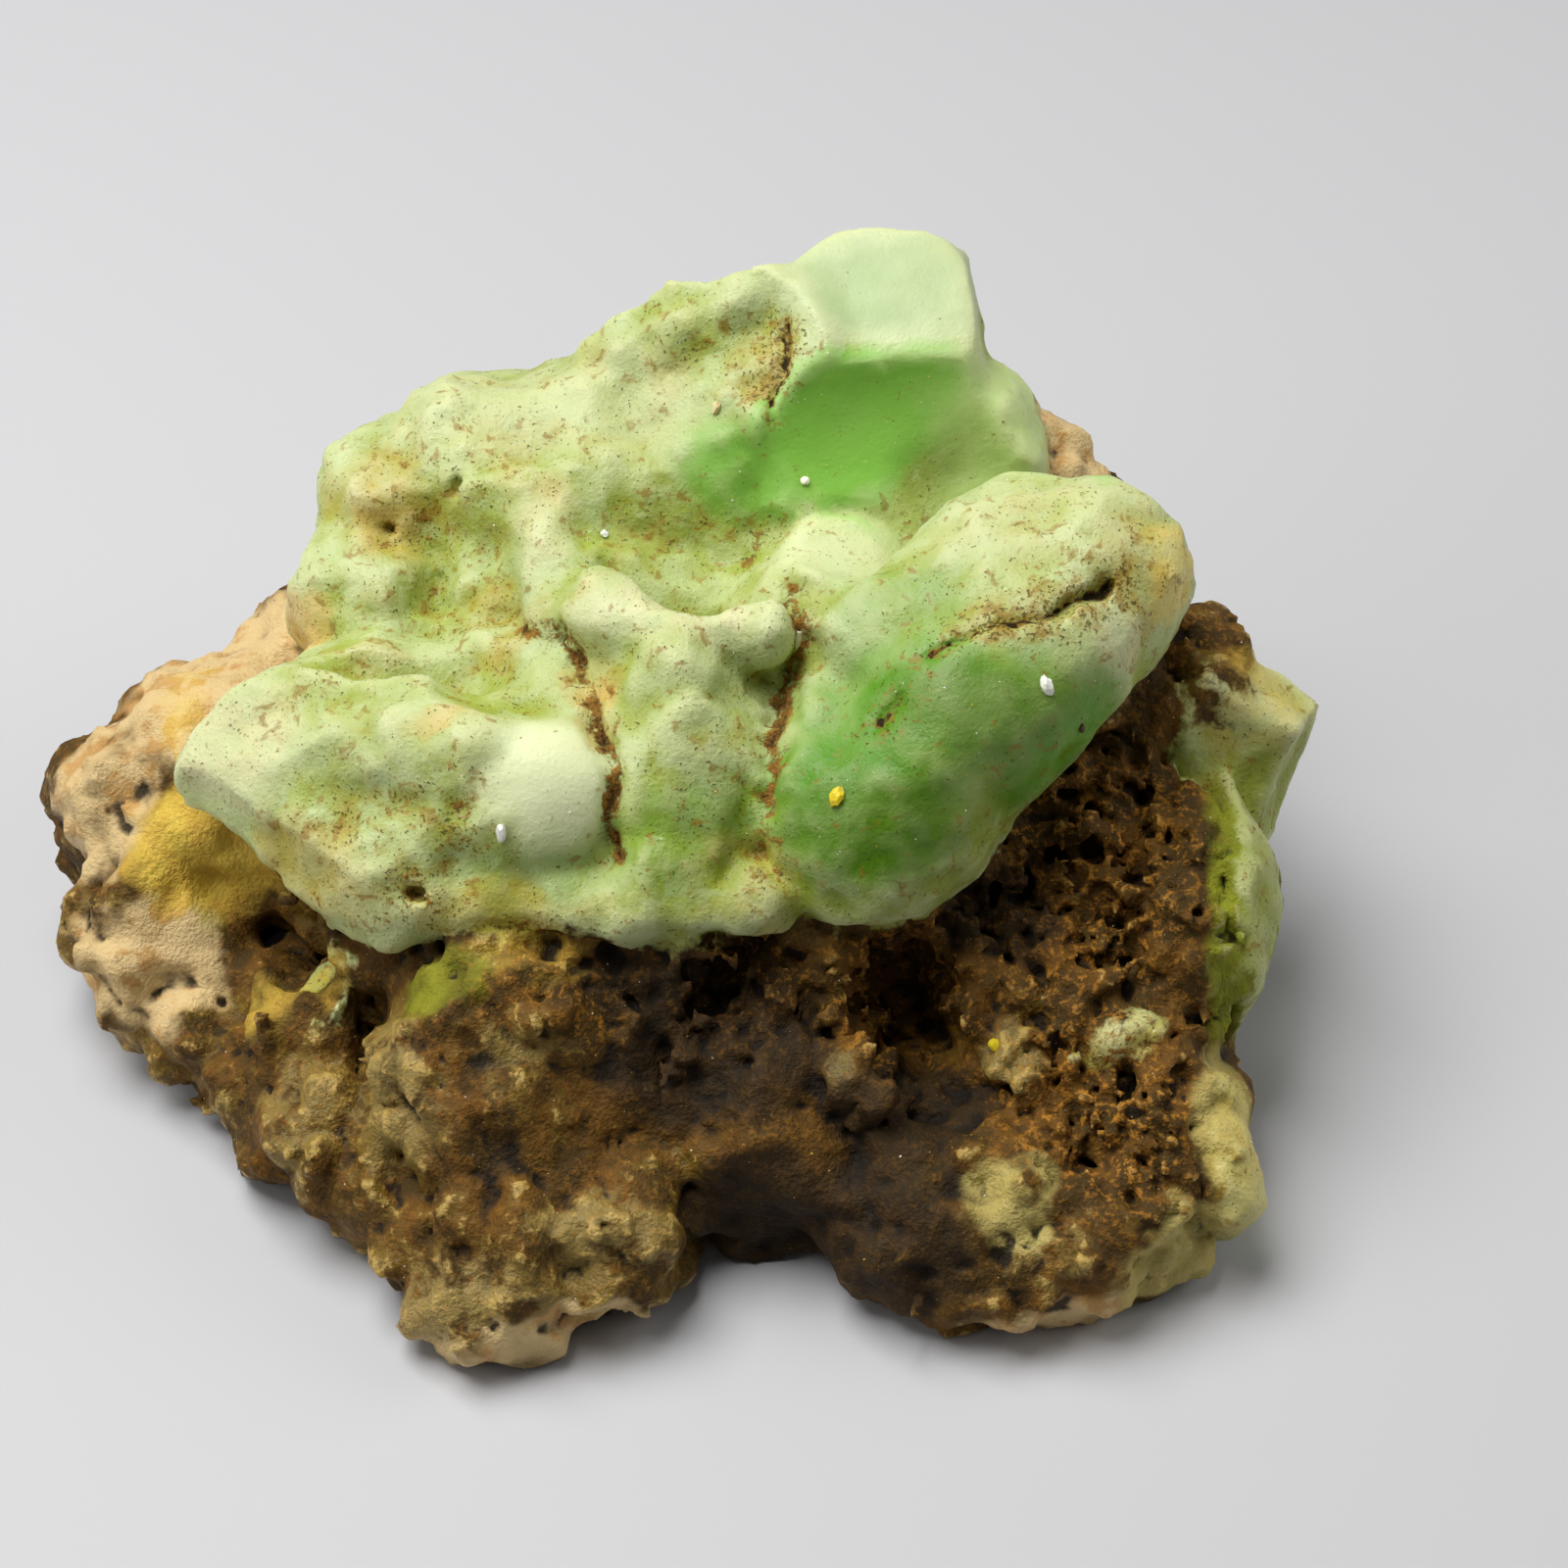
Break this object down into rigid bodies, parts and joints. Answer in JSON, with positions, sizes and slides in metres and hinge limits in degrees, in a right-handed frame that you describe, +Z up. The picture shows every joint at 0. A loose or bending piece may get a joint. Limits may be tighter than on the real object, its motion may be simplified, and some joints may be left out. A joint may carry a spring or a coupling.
{
  "type": "fluorite mineral specimen",
  "caption": "Hand-sized lump of waxy green mineral over brown porous rock, with a finger-like lobe, a flat-topped back block and a hollowed front.",
  "frame": {"origin": "centre of the stone's footprint box, on the plane that it rests on", "axes": "+Z up, +X to the right as seen from the front, along the stone's longest side, -Y towards the viewer"},
  "size_m": [0.0522, 0.0414, 0.0264],
  "materials": {
    "stone": "waxy green mineral over matt brown porous rock"
  },
  "bodies": {
    "root": {"fluorite_specimen": "stone"}
  },
  "joints": []
}
